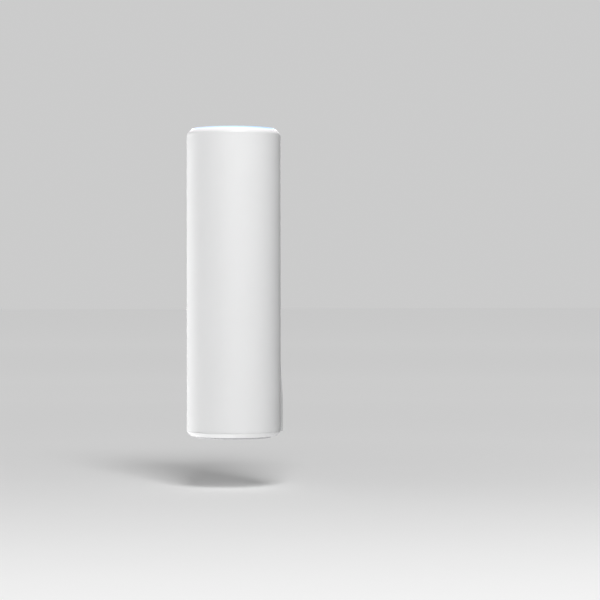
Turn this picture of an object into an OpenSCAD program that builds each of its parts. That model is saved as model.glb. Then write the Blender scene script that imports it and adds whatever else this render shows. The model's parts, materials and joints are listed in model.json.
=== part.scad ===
// Wall-mounted mesh wifi node: a slim upright cylinder that hangs on a small T-rail bracket.
// Row frame: +Z up, the wall is the plane y = 0, the front faces -Y, and the origin is on the
// wall, midway between the bracket's two screw holes.
// The node itself is drawn in its own frame, whose axis is vertical and whose z = 0 is the
// underside of the foot; on_unit() carries that frame to its place in front of the wall.

/* [Casing] */
// Outer diameter of the casing
body_d = 48.5; // [48:0.1:49]
// Overall height, foot to light ring
body_h = 159.4; // [158:0.2:166]
// Thickness of the casing sleeve
wall_t = 2.0; // [1.9:0.05:2.2]
// Height of the bevel at the top edge, light ring included
top_bevel_h = 2.75; // [2.6:0.05:2.9]
// Width of the bevel at the top edge, light ring included
top_bevel_w = 2.85; // [2.6:0.05:2.9]
// Height of the bevel at the bottom edge
base_bevel_h = 1.95; // [1.6:0.05:2.2]
// Width of the bevel at the bottom edge
base_bevel_w = 1.9; // [1.5:0.05:2.1]
// Height of the upright band between the bottom bevel and the seam
seam_band = 0.5; // [0.3:0.05:0.8]
// Parting gap between the sleeve and the base cover
seam_gap = 0.15; // [0.1:0.05:0.2]

/* [Base] */
// How far the rubber foot stands below the base cover
foot_proud = 1.05; // [0.8:0.05:1.4]
// Outer radius of the foot ring
foot_r = 19.4; // [19:0.1:20]
// Width of the foot ring
foot_w = 3.4; // [2.6:0.1:3.6]
// Radius of the cable outlet in the base cover
outlet_r = 6; // [5:0.25:6.5]
// Height of the spigot that holds the base cover in the sleeve
spigot_h = 4.4; // [3.5:0.1:5]

/* [Light ring] */
// Height of the light ring's lip above the sleeve
lip_h = 1.2; // [1.1:0.05:1.3]
// Depth of the dished top
dish_depth = 6; // [5:0.25:6.5]
// Number of light emitting diodes
led_count = 12; // [8:4:16]

/* [Wall bracket] */
// Distance from the wall to the axis of the casing
axis_to_wall = 24.75; // [24.7:0.05:25.2]
// Half the width of the bracket's foot
bracket_foot_w = 6.8; // [6.6:0.1:7.4]
// Half the width of the bracket's neck
bracket_neck_w = 3.8; // [3.6:0.1:4.2]
// Half the width of the rail's stem
stem_w = 4.1; // [4:0.1:4.2]
// Half the width across the rail's lugs
lug_w = 8; // [7:0.1:8.2]
// Depth of the rail, from the wall to its front face
rail_depth = 7; // [6.8:0.1:7.4]
// Radius of the wall screw holes
wall_screw_r = 2.1; // [1.8:0.1:2.3]
// Distance between the wall screws
wall_screw_pitch = 21; // [20:0.5:21.5]
// Radius of the cable hole through the bracket
cable_hole_r = 3.2; // [2.8:0.1:3.2]

/* [Electronics] */
// Width of the main board
board_w = 38.4; // [38:0.1:38.6]
// Number of cooling fins, an even number
fin_count = 8; // [4:2:8]
// Radius of the curved envelope that the fins are cut to
fin_envelope_r = 20.6; // [17:0.2:21]

/* [Hidden] */
$fn = 96;
FINE = 160;            // sides of the casing's circles
SMALL = 32;            // sides of screws and pins
eps = 0.01;
slip = 0.3;            // sliding gap between the rail and the casing
fit = 0.05;            // gap between pieces that seat on each other
saddle_gap = 0.2;      // gap between the bracket's saddle and the casing

// radii of the casing
body_r = body_d / 2;
bore_r = body_r - wall_t;

// heights in the node's own frame
cover_z = foot_proud;
seam_z = cover_z + base_bevel_h + seam_band;
sleeve_z = seam_z + seam_gap;
sleeve_top = body_h - lip_h;
cover_floor_top = cover_z + 2.05;
foot_groove_z = cover_z + 0.8;
sleeve_edge_r = body_r - top_bevel_w * (1 - lip_h / top_bevel_h);
lip_r = body_r - top_bevel_w;

// the rail and the slot that it slides in
rail_front = axis_to_wall - rail_depth;
rail_z0 = 4.5;
rail_z1 = 37.95;
slot_w = stem_w + slip;
slot_top = rail_z1 + fit;
slot_front = rail_front - slip;
slot_lug_w = lug_w + slip;
screw_mid_z = 21.5;    // height of the row origin in the node's frame
bracket_z0 = 2.9;
bracket_curve_z0 = 17;
bracket_curve_z1 = 42;
counterbore_r = 4.1;
counterbore_floor = 3.85;

// the port bay and its bulkhead
bulkhead_z = 40;
bulkhead_t = 3;
bulkhead_top = bulkhead_z + bulkhead_t;
bulkhead_r = bore_r - 0.15;
channel_wall = 1.4;
channel_w = slot_lug_w + channel_wall;
channel_front = slot_front - channel_wall;
channel_tab_x = 11.9;
channel_tab_y = 16.2;

// Lugs in the sleeve that the bulkhead rests on; it drops in from above and is screwed from below.
lug_angles = [35, 145, 270];
lug_at = bore_r - 2.65;
lug_r = 3;
lug_h = 6;
pilot_r = 1.15;
shank_r = 1.1;
shank_hole_r = 1.3;
small_pilot_r = 0.95;
small_shank_r = 0.9;
pillar_r = 2.4;
pillar_h = 4;

// screws that hold the chassis to the bulkhead
frame_screw_x = 19;
frame_screw_y = -2;

// chassis posts and the board between them
board_y0 = 4;
board_t = 1.6;
board_y1 = board_y0 + board_t;
board_z0 = 44.2;
board_z1 = 131;
post_x = board_w / 2 - 0.8;
post_r = bore_r - 0.85;
post_y0 = -6;
post_y1 = 7.6;
bar_zs = [70, 118];
bar_h = 5;
bar_y0 = 9;
bar_t = 2.5;
sink_screw_x = 15;
sink_bosses = [for (x = [-sink_screw_x, sink_screw_x], z = bar_zs) [x, z]];

// heatsink and the shields under it
sink_z0 = 64;
sink_z1 = 124;
sink_w = 17.5;
sink_y0 = -2;
sink_y1 = 0.6;
can_h = 2.6;
can_w = 11.6;
can_zs = [[67, 91], [95, 121]];
can_wall = 0.3;

// Ethernet jack, facing down into the bay
jack_w = 8;
jack_y0 = -9.6;
jack_z1 = 58;
jack_skin = 0.3;
port_w = 5.9;
port_y0 = -5.6;
port_y1 = 1.4;
port_depth = 13;

// reset button
reset_x = -13.2;
reset_y = 1.7;
reset_r = 1.5;

// top platform, light board and antennas
platform_z = body_h - 9.3;
platform_t = 1.5;
platform_r = 20;
platform_hole_r = 13;
led_board_z = platform_z + platform_t + fit;
led_board_t = 1;
led_at = 20.9;
led_screw_x = 17;
carrier_z = 131.8;
carrier_t = 1.6;
antenna_base = carrier_z + carrier_t;
antenna_at = 17.2;
antenna_angles = [45, 135, 225, 315];
coax_r = 0.6;
coax_at = 15;          // radius at which each coax passes the carrier
coax_turn = 12;        // how far each coax is turned from its antenna, in degrees

// ---------- shared shapes ----------

// Places a shape drawn in the node's own frame in the row frame.
module on_unit() {
    translate([0, -axis_to_wall, -screw_mid_z]) children();
}

// A flat ring, or a disc where inner is 0.
module ring(outer, inner, z0, z1, sides = FINE) {
    translate([0, 0, z0]) difference() {
        cylinder(r = outer, h = z1 - z0, $fn = sides);
        if (inner > 0)
            translate([0, 0, -1]) cylinder(r = inner, h = z1 - z0 + 2, $fn = sides);
    }
}

// A box given by its two opposite corners.
module block(low, high) {
    translate(low) cube(high - low);
}

// A rectangle with round corners, centred on the origin, with exact arcs.
module round_rect(w, h, r) {
    square([w - 2 * r, h], center = true);
    square([w, h - 2 * r], center = true);
    for (x = [-1, 1], y = [-1, 1])
        translate([x * (w / 2 - r), y * (h / 2 - r)]) circle(r = r, $fn = SMALL);
}

// A plate in the XZ plane from y0 to y1, centred on x, z, with round corners.
module upright_plate(x, z, w, h, r, y0, y1) {
    translate([x, y1, z]) rotate([90, 0, 0]) linear_extrude(y1 - y0) round_rect(w, h, r);
}

// A pan-head screw along +Z: the head is below z = 0, the shank above it.
module screw(head_r, head_h, length, shank = shank_r) {
    difference() {
        translate([0, 0, -head_h]) cylinder(r = head_r, h = head_h, $fn = SMALL);
        for (a = [0, 90]) rotate(a)
            block([-head_r * 0.55, -head_r * 0.13, -head_h - 1],
                  [head_r * 0.55, head_r * 0.13, -head_h * 0.45]);
    }
    cylinder(r = shank, h = length, $fn = SMALL);
}

function unit(v) = v / norm(v);

// A line through points, with each corner turned into a curve that starts trim away from it.
function rounded(points, trim, steps = 4) = concat(
    [points[0]],
    [for (i = [1 : len(points) - 2])
        let (corner = points[i],
             near = corner + trim * unit(points[i - 1] - corner),
             far = corner + trim * unit(points[i + 1] - corner))
        for (k = [0 : steps])
            let (t = k / steps)
            (1 - t) * (1 - t) * near + 2 * t * (1 - t) * corner + t * t * far],
    [points[len(points) - 1]]
);

// A tube swept along points; none of its stretches runs along X.
module tube(points, r, sides = 8) {
    last = len(points) - 1;
    rings = [for (i = [0 : last])
        let (along = unit(points[min(i + 1, last)] - points[max(i - 1, 0)]),
             across = unit(cross(along, [1, 0, 0])),
             third = cross(along, across))
        for (k = [0 : sides - 1])
            points[i] + r * (cos(k * 360 / sides) * across + sin(k * 360 / sides) * third)];
    walls = [for (i = [0 : last - 1], k = [0 : sides - 1])
        let (next = (k + 1) % sides)
        [i * sides + k, (i + 1) * sides + k, (i + 1) * sides + next, i * sides + next]];
    start = [for (k = [0 : sides - 1]) k];
    end = [for (k = [sides - 1 : -1 : 0]) last * sides + k];
    polyhedron(points = rings, faces = concat(walls, [start, end]));
}

// ---------- wall bracket ----------

// Half-width of the bracket at height z: a foot, an S-curve and a neck.
function bracket_half(z) =
    let (t = max(0, min(1, (z - bracket_curve_z0) / (bracket_curve_z1 - bracket_curve_z0))))
    bracket_neck_w + (bracket_foot_w - bracket_neck_w) * (1 + cos(180 * t)) / 2;

// Outline of the bracket against the wall, as half-width and height pairs up one side.
function bracket_side() = concat(
    [[bracket_foot_w - 1, bracket_z0], [bracket_foot_w - 0.3, bracket_z0 + 0.3],
     [bracket_foot_w, bracket_z0 + 1]],
    [for (z = [bracket_curve_z0 : 2.5 : bracket_curve_z1]) [bracket_half(z), z]],
    [for (a = [15 : 15 : 75]) [bracket_neck_w * cos(a), bracket_curve_z1 + bracket_neck_w * sin(a)]]
);

module bracket_outline() {
    side = bracket_side();
    top = [0, bracket_curve_z1 + bracket_neck_w];
    mirrored = [for (i = [len(side) - 1 : -1 : 0]) [-side[i].x, side[i].y]];
    polygon(concat(side, [top], mirrored));
}

// Cross-section of a rail, or of the slot for it, with lead-in corners at its top end.
module rail_outline(w, lead) {
    polygon([[-w, rail_z0], [w, rail_z0], [w, rail_z1 - lead], [w - lead, rail_z1],
             [-w + lead, rail_z1], [-w, rail_z1 - lead]]);
}

module along_wall_normal(y0, y1) {
    translate([0, y1, 0]) rotate([90, 0, 0]) linear_extrude(y1 - y0) children();
}

module wall_bracket() {
    color([0.72, 0.72, 0.73]) on_unit() difference() {
        union() {
            // saddle between the casing and the wall
            difference() {
                along_wall_normal(rail_front + 3, axis_to_wall) bracket_outline();
                cylinder(r = body_r + saddle_gap, h = 3 * rail_z1, center = true, $fn = FINE);
            }
            // stem through the slot
            along_wall_normal(rail_front, axis_to_wall) rail_outline(stem_w, 1);
            // lugs behind the sleeve wall
            intersection() {
                along_wall_normal(rail_front, body_r) rail_outline(lug_w, 2);
                cylinder(r = bore_r - slip, h = 3 * rail_z1, $fn = FINE);
            }
        }
        for (z = [-1, 1]) translate([0, 0, screw_mid_z + z * wall_screw_pitch / 2]) {
            bore_y(wall_screw_r, rail_front - 1, axis_to_wall + 1);
            bore_y(counterbore_r, rail_front - 1, axis_to_wall - counterbore_floor);
        }
        translate([0, 0, screw_mid_z]) bore_y(cable_hole_r, rail_front - 1, axis_to_wall + 1);
    }
}

// A round cutter along Y.
module bore_y(r, y0, y1) {
    translate([0, y0, 0]) rotate([-90, 0, 0]) cylinder(r = r, h = y1 - y0, $fn = 64);
}

// The T-shaped slot, open at the bottom, that the rail slides in.
module rail_slot(z1) {
    block([-slot_w, slot_front, -1], [slot_w, body_r + 1, z1]);
    intersection() {
        block([-slot_lug_w, slot_front, -1], [slot_lug_w, body_r, z1]);
        translate([0, 0, -1]) cylinder(r = bore_r, h = z1 + 1, $fn = FINE);
    }
}

// ---------- casing ----------

module at_lugs() {
    for (a = lug_angles) rotate(a) translate([lug_at, 0, 0]) children();
}

module casing_sleeve() {
    color([0.93, 0.93, 0.93]) on_unit() difference() {
        union() {
            rotate_extrude($fn = FINE) polygon([
                [bore_r, sleeve_z], [body_r, sleeve_z], [body_r, body_h - top_bevel_h],
                [sleeve_edge_r, sleeve_top], [bore_r, sleeve_top]
            ]);
            at_lugs() translate([0, 0, bulkhead_z - fit - lug_h]) cylinder(r = lug_r, h = lug_h, $fn = SMALL);
        }
        block([-slot_w, 0, 0], [slot_w, body_r + 1, slot_top]);
        at_lugs() translate([0, 0, seam_z]) cylinder(r = shank_hole_r, h = bulkhead_z, $fn = SMALL);
    }
}

// The moulded guide behind the sleeve's slot. It closes the bay off from the rail.
module rail_channel() {
    tab_half = 2;
    tab_t = 2;
    top = bulkhead_z - 0.1;
    color([0.8, 0.8, 0.8]) on_unit() difference() {
        intersection() {
            union() {
                block([-channel_w, channel_front, sleeve_z + 0.45], [channel_w, body_r, top]);
                block([-channel_tab_x - 2.1, channel_tab_y - tab_half, top - tab_t],
                      [channel_tab_x + 2.1, channel_tab_y + tab_half, top]);
            }
            cylinder(r = bore_r - 0.1, h = bulkhead_z, $fn = FINE);
        }
        block([-slot_lug_w, slot_front, 0], [slot_lug_w, body_r, slot_top + 0.2]);
        // window for the cable, open at the bottom
        block([-3.8, channel_front - 1, 0], [3.8, slot_front + 1, screw_mid_z + 5.5]);
        for (s = [-1, 1]) translate([s * channel_tab_x, channel_tab_y, bulkhead_z - 3])
            cylinder(r = 1, h = 4, $fn = SMALL);
    }
}

module channel_screws() {
    color([0.7, 0.7, 0.72]) on_unit() for (s = [-1, 1])
        translate([s * channel_tab_x, channel_tab_y, bulkhead_z - 2.1]) screw(1.8, 1.2, 4.3, small_shank_r);
}

module base_cover() {
    spigot_r = bore_r - 0.2;
    spigot_wall = 1.6;
    color([0.93, 0.93, 0.93]) on_unit() difference() {
        rotate_extrude($fn = FINE) polygon([
            [0, cover_z], [body_r - base_bevel_w, cover_z], [body_r, cover_z + base_bevel_h],
            [body_r, seam_z], [spigot_r, seam_z], [spigot_r, seam_z + spigot_h],
            [spigot_r - spigot_wall, seam_z + spigot_h], [spigot_r - spigot_wall, cover_floor_top],
            [0, cover_floor_top]
        ]);
        ring(foot_r, foot_r - foot_w, cover_z - 1, foot_groove_z);
        cylinder(r = outlet_r, h = 10);
        rail_slot(cover_floor_top + 1);
        block([-channel_w - 0.3, 0, cover_floor_top + 0.4], [channel_w + 0.3, body_r, 20]);
        // pry notch at the seam
        block([-body_r - 1, -4, seam_z - 0.7], [-body_r + 1.1, 4, seam_z + 1]);
    }
}

module foot_ring() {
    color([0.72, 0.72, 0.73]) on_unit() difference() {
        rotate_extrude($fn = FINE) polygon([
            [foot_r - foot_w + 0.4, 0], [foot_r - 0.4, 0], [foot_r - fit, 0.35],
            [foot_r - fit, foot_groove_z - fit], [foot_r - foot_w + fit, foot_groove_z - fit],
            [foot_r - foot_w + fit, 0.35]
        ]);
        block([-slot_lug_w - 0.2, 0, -1], [slot_lug_w + 0.2, body_r, 5]);
    }
}

module cable_plug() {
    color([0.72, 0.72, 0.73]) on_unit() rotate_extrude($fn = 64) polygon([
        [0, 0.75], [outlet_r + 0.9, 0.45], [outlet_r + 1.2, 0.75], [outlet_r + 1.2, cover_z - 0.02],
        [outlet_r - fit, cover_z - 0.02], [outlet_r - fit, cover_floor_top + 0.02],
        [outlet_r + 0.6, cover_floor_top + 0.02], [outlet_r - 0.4, cover_floor_top + 1.4],
        [outlet_r - 1.6, cover_floor_top + 1.4], [outlet_r - 1.8, cover_z + 0.9], [0, cover_z + 0.9]
    ]);
}

// ---------- light ring and dished top ----------

ring_inner = bore_r - 1.95;
ring_foot_z = body_h - 3.85;
ring_step_z = body_h - 2.35;
dish_r = ring_inner - fit;
dish_wall = 1.6;

module light_ring() {
    round_r = 0.25;
    color([0.75, 0.88, 1]) on_unit() rotate_extrude($fn = FINE) polygon([
        [ring_inner - 1, ring_foot_z], [bore_r - 0.1, ring_foot_z],
        [bore_r - 0.1, ring_step_z - 0.5], [bore_r - 0.95, ring_step_z - 0.5],
        [bore_r - 0.95, ring_step_z + 0.5], [bore_r - 0.1, ring_step_z + 0.5],
        [bore_r - 0.1, sleeve_top + 0.01], [sleeve_edge_r, sleeve_top + 0.01],
        [lip_r + round_r * 0.7, body_h - round_r * 0.7], [lip_r - round_r * 0.3, body_h],
        [ring_inner + round_r, body_h], [ring_inner, body_h - round_r],
        [ring_inner, ring_step_z], [ring_inner - 1, ring_step_z]
    ]);
}

// The bowl is a cap of this sphere.
dish_rim_z = body_h - 0.8;
dish_edge_r = dish_r - 0.5;
dish_sphere_r = (dish_edge_r * dish_edge_r + dish_depth * dish_depth) / (2 * dish_depth);

module top_dish() {
    color([0.93, 0.94, 0.96]) on_unit() difference() {
        union() {
            ring(dish_r, dish_r - 1.6, ring_step_z + 0.02, dish_rim_z);
            intersection() {
                translate([0, 0, dish_rim_z - dish_depth + dish_sphere_r])
                    sphere(r = dish_sphere_r + dish_wall, $fn = FINE);
                ring(ring_inner - 1.1, 0, platform_z - 5, dish_rim_z);
            }
        }
        translate([0, 0, dish_rim_z - dish_depth + dish_sphere_r]) sphere(r = dish_sphere_r, $fn = FINE);
    }
}

module top_seal() {
    cord_r = 0.42;
    color([0.2, 0.2, 0.22]) on_unit() translate([0, 0, ring_step_z])
        rotate_extrude($fn = FINE) translate([bore_r - 0.05 - cord_r, 0]) circle(r = cord_r, $fn = 24);
}

module led_board() {
    color([0.95, 0.95, 0.93]) on_unit() difference() {
        ring(bore_r - 0.65, 14.5, led_board_z, led_board_z + led_board_t);
        for (s = [-1, 1]) translate([s * led_screw_x, 0, led_board_z - 1])
            cylinder(r = 1.2, h = 4, $fn = SMALL);
    }
}

module led_chips() {
    top = led_board_z + led_board_t;
    color([1, 0.95, 0.7]) on_unit() for (i = [0 : led_count - 1]) rotate((i + 0.5) * 360 / led_count)
        block([led_at - 0.6, -0.95, top + 0.01], [led_at + 0.6, 0.95, top + 0.7]);
}

module led_connector() {
    color([0.9, 0.9, 0.85]) on_unit() difference() {
        block([-4.2, 15.6, led_board_z - 2.2], [4.2, 19.4, led_board_z - 0.01]);
        block([-3.2, 17.2, led_board_z - 3], [3.2, 17.8, led_board_z - 1]);
    }
}

module led_board_screws() {
    color([0.7, 0.7, 0.72]) on_unit() for (s = [-1, 1])
        translate([s * led_screw_x, 0, led_board_z + led_board_t + eps]) rotate([180, 0, 0])
            screw(1.9, 1, 4, small_shank_r);
}

// The flat cable runs down the back and S-bends to its connector on the main board.
ribbon_back_y = 17.5;
ribbon_board_y = board_y1 + 1;
ribbon_bend_z0 = 121.5;
ribbon_bend_z1 = 131;

function ribbon_line() = concat(
    [[ribbon_back_y, led_board_z - 1.3]],
    [for (i = [0 : 12]) let (t = i / 12)
        [ribbon_back_y - (ribbon_back_y - ribbon_board_y) * (1 - cos(180 * t)) / 2,
         ribbon_bend_z1 - (ribbon_bend_z1 - ribbon_bend_z0) * t]],
    [[ribbon_board_y, 112.5]]
);

module led_ribbon() {
    half = 0.15;
    line = ribbon_line();
    near = [for (p = line) [p.x - half, p.y + half]];
    far = [for (i = [len(line) - 1 : -1 : 0]) [line[i].x + half, line[i].y - half]];
    color([0.92, 0.92, 0.9]) on_unit() rotate([90, 0, 90]) translate([0, 0, -3])
        linear_extrude(6) polygon(concat(near, far));
}

module ribbon_connector() {
    color([0.9, 0.9, 0.85]) on_unit() difference() {
        block([-4.5, board_y1 + 0.01, 108], [4.5, board_y1 + 2, 113]);
        block([-3.3, board_y1 + 0.6, 111.5], [3.3, board_y1 + 1.4, 114]);
    }
}

// ---------- chassis ----------

module bulkhead() {
    color([0.22, 0.23, 0.25]) on_unit() difference() {
        union() {
            ring(bulkhead_r, 0, bulkhead_z, bulkhead_top);
            at_lugs() translate([0, 0, bulkhead_top - eps]) cylinder(r = pillar_r, h = pillar_h, $fn = SMALL);
        }
        // jack window and reset hole
        block([-jack_w - 0.3, jack_y0 - 0.3, bulkhead_z - 1],
              [jack_w + 0.3, board_y0 + 0.35, bulkhead_top + 1]);
        translate([reset_x, reset_y, bulkhead_z - 1]) cylinder(r = reset_r + 0.1, h = 6, $fn = SMALL);
        at_lugs() translate([0, 0, bulkhead_z - 1]) cylinder(r = pilot_r, h = pillar_h + 6, $fn = SMALL);
        for (s = [-1, 1]) {
            translate([s * channel_tab_x, channel_tab_y, bulkhead_z - 1])
                cylinder(r = small_pilot_r, h = 3.6, $fn = SMALL);
            translate([s * frame_screw_x, frame_screw_y, bulkhead_z - 1])
                cylinder(r = shank_hole_r, h = 6, $fn = SMALL);
        }
    }
}

module chassis_screws() {
    color([0.7, 0.7, 0.72]) on_unit() at_lugs()
        translate([0, 0, bulkhead_z - fit - lug_h - 0.02]) screw(2.3, 1.6, 12);
}

module frame_screws() {
    color([0.7, 0.7, 0.72]) on_unit() for (s = [-1, 1])
        translate([s * frame_screw_x, frame_screw_y, bulkhead_z - 0.02]) screw(1.9, 1.2, 8, small_shank_r);
}

// One upright of the frame, with a foot for its screw and a shelf for the antenna carrier.
module post() {
    shelf_z = carrier_z - 0.1;
    foot_z = bulkhead_top + 0.02;
    intersection() {
        union() {
            block([post_x, post_y0, foot_z], [bore_r, post_y1, platform_z + eps]);
            block([frame_screw_x - 2, post_y0, foot_z], [bore_r, frame_screw_y + 3, foot_z + 7]);
        }
        cylinder(r = post_r, h = body_h, $fn = FINE);
    }
    block([post_x - 1.2, -3, shelf_z - 2], [post_x + eps, 0, shelf_z]);
}

module cross_bar(z) {
    block([-post_x - eps, bar_y0, z - bar_h / 2], [post_x + eps, bar_y0 + bar_t, z + bar_h / 2]);
    // the bar's ends turn forward to meet the posts
    for (s = [0, 1]) mirror([s, 0, 0])
        block([post_x - 0.5, post_y1 - 1, z - bar_h / 2], [post_x + 0.3, bar_y0 + bar_t, z + bar_h / 2]);
    for (x = [-sink_screw_x, sink_screw_x]) translate([x, board_y1 + 0.02, z])
        rotate([-90, 0, 0]) cylinder(r = 2.4, h = bar_y0 - board_y1, $fn = SMALL);
}

module chassis() {
    color([0.2, 0.21, 0.23]) on_unit() difference() {
        union() {
            post();
            mirror([1, 0, 0]) post();
            for (z = bar_zs) cross_bar(z);
            ring(platform_r, platform_hole_r, platform_z, platform_z + platform_t);
        }
        for (s = [-1, 1]) {
            translate([s * frame_screw_x, frame_screw_y, 0])
                cylinder(r = small_pilot_r, h = bulkhead_top + 6, $fn = SMALL);
            translate([s * led_screw_x, 0, platform_z - 4]) cylinder(r = small_pilot_r, h = 8, $fn = SMALL);
        }
        // grooves for the edges of the main board
        block([-board_w / 2 - 0.2, board_y0 - 0.1, 0], [board_w / 2 + 0.2, board_y1 + 0.1, board_z1 + 0.6]);
        for (p = sink_bosses) translate([p.x, 0, p.y])
            bore_y(small_pilot_r, board_y1 - 1, bar_y0 + bar_t + 1);
        // notch in the top platform for the flat cable
        block([-5, 8, platform_z - 1], [5, 21, platform_z + 3]);
    }
}

// ---------- main board ----------

module main_board() {
    color([0.1, 0.3, 0.2]) on_unit() difference() {
        block([-board_w / 2, board_y0, board_z0], [board_w / 2, board_y1, board_z1]);
        for (p = sink_bosses) translate([p.x, 0, p.y]) bore_y(1.3, 0, 10);
        // top corners cut back
        for (s = [-1, 1]) translate([s * board_w / 2, 0, board_z1])
            rotate([0, 45, 0]) cube([3, 30, 3], center = true);
    }
}

module chip(x, z, w, h, t, side) {
    y0 = side < 0 ? board_y0 - 0.01 - t : board_y1 + 0.01;
    block([x - w / 2, y0, z - h / 2], [x + w / 2, y0 + t, z + h / 2]);
}

module processor() {
    color([0.12, 0.12, 0.13]) on_unit() {
        chip(0, 79, 15, 15, 0.5, -1);
        translate([0, -0.5, 0]) chip(0, 79, 12, 12, 0.7, -1);
    }
}

module memory_chips() {
    color([0.12, 0.12, 0.13]) on_unit() {
        chip(-6, 94, 8, 10, 1.1, 1);
        chip(4, 94, 6, 8, 0.9, 1);
    }
}

module radio_chips() {
    color([0.12, 0.12, 0.13]) on_unit() {
        chip(-5.5, 102, 9, 9, 0.9, -1);
        chip(5.5, 102, 9, 9, 0.9, -1);
        for (x = [-7.5, -2.5, 2.5, 7.5]) chip(x, 114, 3, 3, 0.8, -1);
    }
}

module power_inductors() {
    color([0.3, 0.3, 0.32]) on_unit() for (x = [-13.5, 13.5])
        upright_plate(x, 56, 6, 6, 1.2, board_y0 - 3.01, board_y0 - 0.01);
}

// A pressed lid over part of the board, open towards the board.
module shield_can(z0, z1) {
    top_y = board_y0 - can_h;
    mid = (z0 + z1) / 2;
    color([0.75, 0.76, 0.78]) on_unit() difference() {
        upright_plate(0, mid, 2 * can_w, z1 - z0, 1, top_y, board_y0 - 0.01);
        upright_plate(0, mid, 2 * (can_w - can_wall), z1 - z0 - 2 * can_wall, 0.7,
                      top_y + can_wall, board_y0 + 1);
    }
}

module thermal_pads() {
    color([0.55, 0.6, 0.75]) on_unit() for (c = can_zs)
        block([-9.5, sink_y1 + 0.02, c[0] + 2], [9.5, board_y0 - can_h - 0.02, c[1] - 2]);
}

module heatsink() {
    fin_pitch = 3.2;
    fin_t = 1.2;
    color([0.6, 0.61, 0.63]) on_unit() difference() {
        union() {
            block([-sink_w, sink_y0, sink_z0], [sink_w, sink_y1, sink_z1]);
            intersection() {
                for (i = [0 : fin_count - 1]) translate([(i - (fin_count - 1) / 2) * fin_pitch, 0, 0])
                    block([-fin_t / 2, -body_r, sink_z0], [fin_t / 2, sink_y0 + eps, sink_z1]);
                cylinder(r = fin_envelope_r, h = body_h, $fn = FINE);
            }
            for (p = sink_bosses) translate([p.x, sink_y1 - eps, p.y]) rotate([-90, 0, 0])
                cylinder(r = 3, h = board_y0 - sink_y1 - fit, $fn = SMALL);
        }
        for (p = sink_bosses) translate([p.x, 0, p.y]) bore_y(1.3, sink_y0 - 1, board_y0 + 1);
    }
}

module heatsink_screws() {
    color([0.7, 0.7, 0.72]) on_unit() for (p = sink_bosses)
        translate([p.x, sink_y0 - 0.02, p.y]) rotate([-90, 0, 0]) screw(2.3, 1.6, 12.6, small_shank_r);
}

// ---------- port and power parts ----------

module jack_shield() {
    color([0.78, 0.79, 0.8]) on_unit() difference() {
        block([-jack_w, jack_y0, bulkhead_z + fit], [jack_w, board_y0 - fit, jack_z1]);
        block([-jack_w + jack_skin, jack_y0 + jack_skin, bulkhead_z - 1],
              [jack_w - jack_skin, board_y0 - fit - jack_skin, jack_z1 - jack_skin]);
    }
}

module jack_housing() {
    g = jack_skin + 0.03;
    color([0.1, 0.1, 0.11]) on_unit() difference() {
        block([-jack_w + g, jack_y0 + g, bulkhead_z + 0.3], [jack_w - g, board_y0 - fit - g, jack_z1 - g]);
        block([-port_w, port_y0, bulkhead_z - 1], [port_w, port_y1, bulkhead_z + port_depth]);
        // slot for the plug's latch
        block([-3.1, port_y0 - 2.4, bulkhead_z - 1], [3.1, port_y0 + eps, bulkhead_z + port_depth - 2]);
    }
}

module jack_contacts() {
    pitch = 1.02;
    color([0.85, 0.68, 0.3]) on_unit() for (i = [-3.5 : 1 : 3.5])
        translate([i * pitch, port_y1 - 0.05, bulkhead_z + 2]) rotate([9, 0, 0])
            block([-0.18, -0.35, 0], [0.18, 0, 9.5]);
}

module network_transformer() {
    color([0.13, 0.13, 0.14]) on_unit() {
        upright_plate(8.5, 59.5, 13, 12, 0.5, board_y1 + 0.4, board_y1 + 6);
        for (s = [-1, 1], i = [-4 : 4])
            block([8.5 + s * 6.9 - 0.4, board_y1 + 0.01, 59.5 + i * 1.2 - 0.2],
                  [8.5 + s * 6.9 + 0.4, board_y1 + 1.4, 59.5 + i * 1.2 + 0.2]);
    }
}

module power_transformer() {
    color([0.25, 0.25, 0.26]) on_unit() {
        // bobbin flanges, winding and core
        upright_plate(-8, 59.5, 13, 13, 0.8, board_y1 + 0.01, board_y1 + 1.5);
        upright_plate(-8, 59.5, 10.4, 10.4, 2.5, board_y1 + 1.5 - eps, board_y1 + 8);
        upright_plate(-8, 59.5, 13, 13, 0.8, board_y1 + 8 - eps, board_y1 + 9.3);
        block([-10.5, board_y1 + 1.2, 66 - 14.1], [-5.5, board_y1 + 10.2, 66 + 1.1]);
    }
}

module capacitors() {
    color([0.2, 0.22, 0.3]) on_unit() for (x = [-7, 0, 7])
        translate([x, board_y1 + 0.01, 47.9]) rotate([-90, 0, 0]) {
            cylinder(r = 3.3, h = 0.8, $fn = SMALL);
            translate([0, 0, 0.8 - eps]) cylinder(r = 3.1, h = 7.4, $fn = SMALL);
        }
}

module reset_switch() {
    color([0.72, 0.72, 0.74]) on_unit() {
        block([reset_x - 2.2, board_y0 - 3.4, 46.2], [reset_x + 2.2, board_y0 - 0.01, 49.6]);
        translate([reset_x, reset_y, 45.6]) cylinder(r = 0.8, h = 0.7, $fn = SMALL);
    }
}

module reset_button() {
    color([0.85, 0.2, 0.15]) on_unit() translate([reset_x, reset_y, 0]) {
        translate([0, 0, bulkhead_z - 1.1]) cylinder(r = reset_r, h = 4.4, $fn = SMALL);
        translate([0, 0, bulkhead_top + fit]) cylinder(r = 1.9, h = 0.8, $fn = SMALL);
        translate([0, 0, bulkhead_top + fit]) cylinder(r = 1, h = 1.65, $fn = SMALL);
    }
}

// ---------- antennas ----------

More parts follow.
